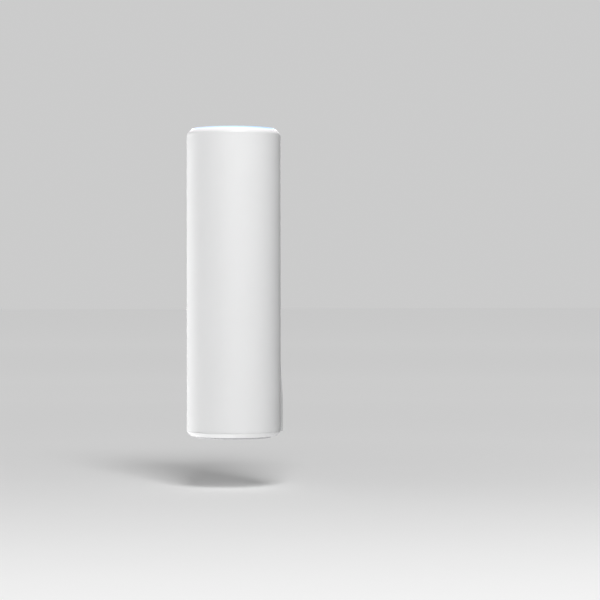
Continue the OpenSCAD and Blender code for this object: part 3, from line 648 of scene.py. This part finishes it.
def make_foot_ring():
    """The rubber ring that the node stands on, open where the rail passes."""
    outer, inner = foot_hi.x, foot_hi.x - 3.3
    outline = rounded([(inner, foot_hi.z), (inner, 0, 0.45), (outer, 0, 0.45), (outer, foot_hi.z)])
    ring = new_piece("foot_tread", lathe_mesh(outline))
    gap = box_mesh((-LUG_W - 0.5, 2, -1), (LUG_W + 0.5, BODY_R, 5))
    combine(ring, [new_piece("gap", gap)])
    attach(ring, "base")
    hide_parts("foot_ring")
    return dress(ring, foot_rubber)


make_foot_ring()


def make_cable_plug():
    """The rubber plug of the cable outlet: a flange below, a waist in the hole, and a barb above."""
    waist_r = OUTLET_R - 0.05
    barb_z = COVER_FLOOR + 0.02
    outline = rounded([
        (0, 0.95), (4.6, 0.95, 0.6), (5.2, plug_lo.z + 0.02, 0.25), (plug_hi.x, plug_lo.z + 0.3, 0.25),
        (plug_hi.x, COVER_Z - 0.02), (waist_r, COVER_Z - 0.02), (waist_r, barb_z),
        (6.6, barb_z, 0.1), (5.6, plug_hi.z, 0.2), (4.4, plug_hi.z, 0.2), (4.2, 1.95, 0.3), (0, 1.95),
    ], 4)
    plug = new_piece("cable_grommet", lathe_mesh(outline, 128), "base")
    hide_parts("cable_plug")
    return dress(plug, foot_rubber)


make_cable_plug()


# ---------- light ring and dished top ----------

RING_INNER = BORE_R - 1.95
RING_FOOT = ring_lo.z
RING_STEP = RING_FOOT + 1.5


def make_light_ring():
    """The milky ring between the sleeve and the dish, with a groove round it for the seal."""
    outer = BORE_R - 0.1
    groove_r = outer - 0.85
    outline = rounded([
        (RING_INNER - 1, RING_FOOT, 0.1), (outer, RING_FOOT, 0.2), (outer, RING_STEP - 0.5, 0.06),
        (groove_r, RING_STEP - 0.5, 0.06), (groove_r, RING_STEP + 0.5, 0.06), (outer, RING_STEP + 0.5, 0.06),
        (outer, BODY_TOP + 0.01), (RING_EDGE_R, BODY_TOP + 0.01, 0.04), (LIP_R, TOP, 0.25),
        (RING_INNER, TOP, 0.3), (RING_INNER, RING_STEP), (RING_INNER - 1, RING_STEP),
    ])
    ring = new_piece("light_pipe", lathe_mesh(outline), "unit")
    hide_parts("light_ring")
    return dress(ring, light_diffuser)


make_light_ring()


def make_top_dish():
    """A bowl whose inside is a cap of a sphere, with a rolled rim that sits in the light ring."""
    edge_r = dish_hi.x - 0.5
    depth = 6.0
    wall = 1.6
    sphere_r = (edge_r ** 2 + depth ** 2) / (2 * depth)
    centre_z = dish_hi.z - depth + sphere_r
    steps = 40
    inside = []
    for i in range(steps + 1):
        r = (edge_r - 0.35) * i / steps
        inside.append(Vector((r, centre_z - math.sqrt(sphere_r ** 2 - r ** 2))))
    rim = rounded([(inside[-1].x, inside[-1].y), (edge_r, dish_hi.z, 0.25), (dish_hi.x, dish_hi.z, 0.2),
                   (dish_hi.x, RING_STEP + 0.02), (dish_hi.x - 1.1, RING_STEP + 0.02)], 5)
    outside = []
    for i in range(steps + 1):
        r = (RING_INNER - 1.1) * (1 - i / steps)
        outside.append(Vector((r, centre_z - math.sqrt((sphere_r + wall) ** 2 - r ** 2))))
    dish = new_piece("dish_cap", lathe_mesh(inside[:-1] + rim + outside), "unit")
    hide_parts("top_dish")
    return dress(dish, dish_plastic)


make_top_dish()


# ---------- wall bracket ----------

FOOT_W = 6.8
NECK_W = 3.8
CURVE_Z = (17.0, 42.0)
FLANGE_Z = 2.9
SCREW_MID_Z = (FROM_FRAME @ Vector((0, 0, 0))).z
SCREW_PITCH = 21.0
SCREW_HOLE_R = 2.1
COUNTERBORE_R = 4.1
COUNTERBORE_FLOOR = 3.85    # what is left behind a counterbore
CABLE_HOLE_R = 3.2


def bracket_half(z):
    """Half-width of the saddle at height z: a straight foot, an S-curve and a neck."""
    t = max(0.0, min(1.0, (z - CURVE_Z[0]) / (CURVE_Z[1] - CURVE_Z[0])))
    return NECK_W + (FOOT_W - NECK_W) * (1 + math.cos(math.pi * t)) / 2


def saddle_outline():
    """Outline of the saddle against the wall: up one side, over the top and down the other."""
    side = [Vector((FOOT_W - 1 + math.sin(a), FLANGE_Z + 1 - math.cos(a)))
            for a in (math.radians(15 * k) for k in range(7))]
    side += [Vector((bracket_half(CURVE_Z[0] + i * 0.5), CURVE_Z[0] + i * 0.5)) for i in range(51)]
    side += [Vector((NECK_W * math.cos(a), CURVE_Z[1] + NECK_W * math.sin(a)))
             for a in (math.radians(6 * k) for k in range(1, 15))]
    return side + [Vector((0, CURVE_Z[1] + NECK_W))] + [Vector((-p.x, p.y)) for p in reversed(side)]


def rail_outline(half_width, lead):
    """Outline of the rail's stem or lugs, whose top corners are cut by lead to guide the casing on."""
    return rounded([(-half_width, 4.5, 0.4), (half_width, 4.5, 0.4), (half_width, RAIL_TOP - lead, 0.6),
                    (half_width - lead, RAIL_TOP, 0.6), (-half_width + lead, RAIL_TOP, 0.6),
                    (-half_width, RAIL_TOP - lead, 0.6)], 4)


def drill(radius, z, y_low, y_high):
    """A round cutter through the bracket at height z."""
    bm = lathe_mesh([(0, y_low), (radius, y_low), (radius, y_high), (0, y_high)], 64)
    bm.transform(Matrix.Translation((0, 0, z)) @ Matrix.Rotation(math.radians(-90), 4, "X"))
    return new_piece("drill", bm)


def make_wall_bracket():
    """The saddle, hollowed to the casing's curve, with the T-shaped rail in front of it and its holes."""
    bracket = new_piece("bracket_rail", prism_mesh(saddle_outline(), RAIL_FRONT + 3, WALL_Y, "xzy"))
    casing = new_piece("casing", lathe_mesh([(0, -5), (BODY_R + 0.2, -5), (BODY_R + 0.2, 60), (0, 60)]))
    combine(bracket, [casing])
    stem = new_piece("stem", prism_mesh(rail_outline(STEM_W, 1), RAIL_FRONT, WALL_Y - 0.1, "xzy"))
    lugs = new_piece("lugs", prism_mesh(rail_outline(LUG_W, 2), RAIL_FRONT, BODY_R, "xzy"))
    lug_limit_r = BORE_R - SLIP
    within = new_piece("within", lathe_mesh([(0, 0), (lug_limit_r, 0), (lug_limit_r, 50), (0, 50)]))
    combine(lugs, [within], "INTERSECT")
    combine(bracket, [stem, lugs], "UNION")
    drills = [drill(CABLE_HOLE_R, SCREW_MID_Z, RAIL_FRONT - 1, WALL_Y + 1)]
    for side in (-1, 1):
        z = SCREW_MID_Z + side * SCREW_PITCH / 2
        drills.append(drill(SCREW_HOLE_R, z, RAIL_FRONT - 1, WALL_Y + 1))
        drills.append(drill(COUNTERBORE_R, z, RAIL_FRONT - 1, WALL_Y - COUNTERBORE_FLOOR))
    combine(bracket, drills)
    soften(bracket, 0.15)
    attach(bracket, "bracket")
    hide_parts("wall_bracket")
    # its grey plastic is painted shade
    return dress(bracket, bracket_plastic)


make_wall_bracket()


# ---------- screws ----------

THREAD_ROWS = 6         # rows of points in each turn of a thread


def screw_rows(head_r, head_h, shank_r, length):
    """Outline of a screw as (radius, height, thread): its head is below 0, and thread goes from 0 to 1."""
    head = rounded([(0, -head_h), (head_r * 0.72, -head_h, head_h * 0.7),
                    (head_r, -head_h * 0.45, head_h * 0.25), (head_r, 0, 0.06), (shank_r, 0)], 5)
    rows = [(p.x, p.y, 0.0) for p in head]
    step = screw_pitch(shank_r) / THREAD_ROWS
    count = int((length - shank_r) / step)
    for i in range(1, count + 1):
        rows.append((shank_r, i * step, min(1.0, i / THREAD_ROWS)))
    rows += [(shank_r * 0.8, length - shank_r * 0.4, 0.0), (shank_r * 0.45, length, 0.0), (0, length, 0.0)]
    return rows


def screw_pitch(shank_r):
    """The height of one turn of the thread."""
    return shank_r * 0.7


def add_screw(bm, place, head_r, head_h, shank_r, length, sides=32):
    """Adds a screw that points along place's Z axis, with a real thread that fades in and out."""
    rows = screw_rows(head_r, head_h, shank_r, length)
    depth = shank_r * 0.22
    rings = []
    for radius, z, thread in rows:
        if radius < 1e-6:
            rings.append([bm.verts.new(place @ Vector((0, 0, z)))])
            continue
        ring = []
        for k in range(sides):
            turn = k / sides
            wave = abs(2 * ((z / screw_pitch(shank_r) - turn) % 1.0) - 1)
            r = radius - thread * depth * wave
            a = 2 * math.pi * turn
            ring.append(bm.verts.new(place @ Vector((r * math.cos(a), r * math.sin(a), z))))
        rings.append(ring)
    for near, far in zip(rings, rings[1:]):
        for k in range(sides):
            j = (k + 1) % sides
            corners = [near[k % len(near)], near[j % len(near)], far[j % len(far)], far[k % len(far)]]
            corners = [c for i, c in enumerate(corners) if c not in corners[:i]]
            bm.faces.new(corners)


def add_blade(bm, place, head_r, head_h):
    """The cutter for one arm of a cross recess, tapered towards its floor."""
    levels = []
    for z, grow in ((-head_h - 0.5, 1.15), (-head_h * 0.42, 0.75)):
        half_l, half_w = head_r * 0.55 * grow, head_r * 0.13 * grow
        levels.append([bm.verts.new(place @ Vector((x * half_l, y * half_w, z)))
                       for x, y in ((-1, -1), (1, -1), (1, 1), (-1, 1))])
    outer, floor = levels
    bm.faces.new(outer)
    bm.faces.new(floor)
    for i in range(4):
        j = (i + 1) % 4
        bm.faces.new((outer[i], outer[j], floor[j], floor[i]))


def make_screws(node):
    """Detailed screws in the places of a node's plain ones, with their head and shank sizes."""
    screws, blades = bmesh.new(), [bmesh.new(), bmesh.new()]
    for points in islands(node):
        middle, size = middle_of(points)
        axis = max(range(3), key=lambda i: size[i])
        along = Vector((0, 0, 0))
        along[axis] = 1

        def away(p):
            return (p - middle - along * (p - middle).dot(along)).length

        head_r = max(away(p) for p in points)
        head = [(p - middle).dot(along) for p in points if away(p) > head_r * 0.95]
        if sum(head) > 0:
            along = -along
            head = [-h for h in head]
        shank_r = max(away(p) for p in points if (p - middle).dot(along) > size[axis] / 2 - 0.01)
        origin = middle + along * max(head)
        place = Matrix.Translation(origin) @ along.to_track_quat("Z", "Y").to_matrix().to_4x4()
        head_h = max(head) + size[axis] / 2
        add_screw(screws, place, head_r, head_h, shank_r, size[axis] - head_h)
        for i in range(2):
            add_blade(blades[i], place @ Matrix.Rotation(math.pi / 2 * i, 4, "Z"), head_r, head_h)
    piece = new_piece(node + "_fine", screws)
    combine(piece, [new_piece("blade", blade) for blade in blades])
    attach(piece, "unit")
    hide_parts(node)
    return dress(piece, screw_steel)


for screw_node in ("channel_screws", "chassis_screws", "frame_screws", "heatsink_screws", "led_board_screws"):
    make_screws(screw_node)


# ---------- cables ----------

def make_coax(node):
    """A round, smooth version of a CAD cable."""
    bm = cad_bmesh(node, 2e-6)
    bmesh.ops.dissolve_limit(bm, angle_limit=math.radians(0.5), verts=bm.verts, edges=bm.edges)
    triangles = [f for f in bm.faces if len(f.verts) == 3]
    bmesh.ops.join_triangles(bm, faces=triangles, angle_face_threshold=0.7, angle_shape_threshold=3.1)
    creases = bm.edges.layers.float.new("crease_edge")
    for edge in bm.edges:
        if any(len(face.verts) > 4 for face in edge.link_faces):
            edge[creases] = 0.8
    cable = scene_object(node + "_fine", bm)
    smooth = cable.modifiers.new("round", "SUBSURF")
    smooth.levels = smooth.render_levels = 2
    bake_modifiers(cable)
    cable.data.shade_smooth()
    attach(cable, "unit")
    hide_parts(node)
    return dress(cable, coax_jacket)


for coax_node in ("coax_1", "coax_2", "coax_3", "coax_4"):
    make_coax(coax_node)


def make_top_seal():
    """The round rubber cord in the light ring's groove."""
    low, high = extents("top_seal")
    cord = (high.z - low.z) / 2
    outline = [Vector((high.x - cord + cord * math.cos(a), low.z + cord + cord * math.sin(a)))
               for a in (math.radians(22.5 * k) for k in range(16))]
    seal = new_piece("seal_ring", lathe_mesh(outline), "unit")
    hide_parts("top_seal")
    return dress(seal, seal_rubber)


make_top_seal()


# ---------- inner parts: finer copies of the CAD, with rounded edges ----------

# each one's node, the rounding of its edges in millimetres, its material and its slot
INNER = (
    ("rail_channel", 0.15, grey_moulding, "grey_moulding"),
    ("bulkhead", 0.25, dark_moulding, "dark_moulding"),
    ("chassis", 0.25, dark_moulding, "dark_moulding"),
    ("antenna_carrier", 0.2, grey_moulding, "grey_moulding"),
    ("main_board", 0.1, green_board, "green_board"),
    ("led_board", 0.1, white_board, "white_board"),
    ("led_chips", 0.08, led_package, "led_package"),
    ("led_connector", 0.12, cream_moulding, "cream_connector"),
    ("ribbon_connector", 0.12, cream_moulding, "cream_connector"),
    ("led_ribbon", 0.04, cable_film, "flat_cable"),
    ("processor", 0.08, chip_epoxy, "chip_epoxy"),
    ("memory_chips", 0.08, chip_epoxy, "chip_epoxy"),
    ("radio_chips", 0.08, chip_epoxy, "chip_epoxy"),
    ("network_transformer", 0.1, chip_epoxy, "chip_epoxy"),
    ("power_inductors", 0.3, ferrite, "ferrite"),
    ("power_transformer", 0.2, ferrite, "ferrite"),
    ("shield_can_lower", 0.1, tinplate, "can_tinplate"),
    ("shield_can_upper", 0.1, tinplate, "can_tinplate"),
    ("jack_shield", 0.1, tinplate, "can_tinplate"),
    ("thermal_pads", 0.1, thermal_silicone, "thermal_silicone"),
    ("heatsink", 0.2, sink_aluminium, "sink_aluminium"),
    ("jack_housing", 0.2, jack_moulding, "jack_plastic"),
    ("jack_contacts", 0.05, contact_gold, "contact_gold"),
    ("coax_connectors", 0.1, contact_gold, "contact_gold"),
    ("capacitors", 0.25, capacitor_film, "capacitor_sleeve"),
    ("reset_switch", 0.12, switch_moulding, "switch_body"),
    ("reset_button", 0.15, button_moulding, "button_red"),
) + tuple((f"antenna_{place}", 0.06, antenna_metal, "antenna_metal")
           for place in ("5g_1", "5g_2", "5g_3", "5g_4", "2g_left", "2g_right"))

for inner_node, inner_width, inner_material, inner_slot in INNER:
    dress(refine(inner_node, inner_width), inner_material)


# ---------- stage ----------

CAMERA_DISTANCE = 1.069
CAMERA_SIDE = 0.0343
CAMERA_HEIGHT = 0.0741
CAMERA_PITCH = math.radians(0.166)
CAMERA_LENS = 124.0
FLOOR_DROP = 0.026          # room for the base cover to be pulled down
FLOOR_HALF = 12             # half the width of the floor
FLOOR_PALE = 0.55
FLOOR_REACH = 3.0
# What the floor adds for the camera, at parts of FLOOR_REACH from the node, to meet the backdrop.
FLOOR_GLOW = ((0.0, 0.2), (0.12, 0.32), (0.3, 0.42), (0.45, 0.465), (1.0, 0.517))
BACKDROP = 0.6              # brightness of the backdrop to the camera
ROOM_LIGHT = 0.11           # its light on the object


def make_camera():
    """The camera, level, and aimed past the node so that the node stands left of the middle."""
    camera = bpy.data.objects.new("camera", bpy.data.cameras.new("camera"))
    bpy.context.scene.collection.objects.link(camera)
    camera.data.lens = CAMERA_LENS
    camera.data.sensor_width = 36.0
    camera.data.clip_start = 0.01
    camera.data.clip_end = 50
    beside = TOWARDS * CAMERA_DISTANCE + RIGHT * CAMERA_SIDE
    camera.location = AXIS + beside + Vector((0, 0, CAMERA_HEIGHT))
    look = -TOWARDS * math.cos(CAMERA_PITCH) - Vector((0, 0, math.sin(CAMERA_PITCH)))
    camera.rotation_mode = "QUATERNION"
    camera.rotation_quaternion = look.to_track_quat("-Z", "Y")
    bpy.context.scene.camera = camera


make_camera()


def make_floor():
    """A pale floor that meets the backdrop without a horizon.

    Returns the collection that limits a lamp's light to everything but the floor.
    """
    bm = bmesh.new()
    bmesh.ops.create_grid(bm, x_segments=8, y_segments=8, size=FLOOR_HALF)
    floor = new_piece("floor", bm, matrix=Matrix.Translation((0, 0, cad_low.z - FLOOR_DROP)))
    mat, tree, shader = material("floor_pale", (FLOOR_PALE,) * 3, 0.9, specular=0.1)
    vector = object_coordinates(tree)
    cloud = noise(tree, vector, 60, 3)
    tone = blend_colors(tree, cloud, (FLOOR_PALE - 0.005,) * 3, (FLOOR_PALE + 0.005,) * 3)
    tree.links.new(tone, shader.inputs["Base Color"])
    away = tree.nodes.new("ShaderNodeVectorMath")
    away.operation = "LENGTH"
    tree.links.new(vector, away.inputs[0])
    ramp = tree.nodes.new("ShaderNodeValToRGB")
    stops = ramp.color_ramp.elements
    for position, _ in FLOOR_GLOW[1:-1]:
        stops.new(position)
    for stop, (_, glow) in zip(stops, FLOOR_GLOW):
        stop.color = (glow, glow, glow, 1)
    tree.links.new(spread(tree, away.outputs["Value"], 0, 1, 0, FLOOR_REACH), ramp.inputs["Fac"])
    tree.links.new(ramp.outputs["Color"], shader.inputs["Emission Color"])
    path = tree.nodes.new("ShaderNodeLightPath")
    tree.links.new(path.outputs["Is Camera Ray"], shader.inputs["Emission Strength"])
    floor.data.materials.append(mat)
    floor.visible_shadow = False    # the lamps below it shine through it,
    floor.visible_glossy = False    # and are mirrored in the lower half of the casing too
    spared = bpy.data.collections.new("all_but_floor")
    spared.objects.link(floor)
    spared.collection_objects[0].light_linking.link_state = "EXCLUDE"
    return spared


all_but_floor = make_floor()


def make_softbox(name, turn, height, distance, size, power, lights_floor=True):
    """A square area light that faces the node. turn is in degrees from the camera, to its right.

    height is above the object's middle, and it, distance and size are in metres.
    """
    a = math.radians(turn)
    lamp = bpy.data.objects.new(name, bpy.data.lights.new(name, "AREA"))
    bpy.context.scene.collection.objects.link(lamp)
    lamp.data.shape = "SQUARE"
    lamp.data.size = size
    lamp.data.energy = power
    if not lights_floor:
        lamp.light_linking.receiver_collection = all_but_floor
    middle = (cad_low + cad_high) / 2
    outwards = TOWARDS * math.cos(a) + RIGHT * math.sin(a)
    lamp.location = middle + outwards * distance + Vector((0, 0, height))
    lamp.visible_camera = False
    lamp.rotation_mode = "QUATERNION"
    lamp.rotation_quaternion = (middle - lamp.location).to_track_quat("-Z", "Y")


make_softbox("key", turn=12, height=1.19, distance=1.1, size=0.6, power=24.5)
make_softbox("rim", turn=-127, height=-0.3, distance=1.6, size=1.7, power=31, lights_floor=False)
make_softbox("back", turn=180, height=0.5, distance=1.6, size=1.0, power=8, lights_floor=False)
make_softbox("below", turn=-33, height=-1.0, distance=0.25, size=0.6, power=6.7)


def make_world():
    """A backdrop that the camera sees as brighter than the light it gives."""
    world = bpy.data.worlds.new("studio")
    bpy.context.scene.world = world
    world.use_nodes = True
    tree = world.node_tree
    path = tree.nodes.new("ShaderNodeLightPath")
    background = tree.nodes["Background"]
    background.inputs["Color"].default_value = (1, 1, 1, 1)
    strength = spread(tree, path.outputs["Is Camera Ray"], ROOM_LIGHT, BACKDROP, 0, 1)
    tree.links.new(strength, background.inputs["Strength"])


make_world()
bpy.context.scene.view_settings.view_transform = "Standard"
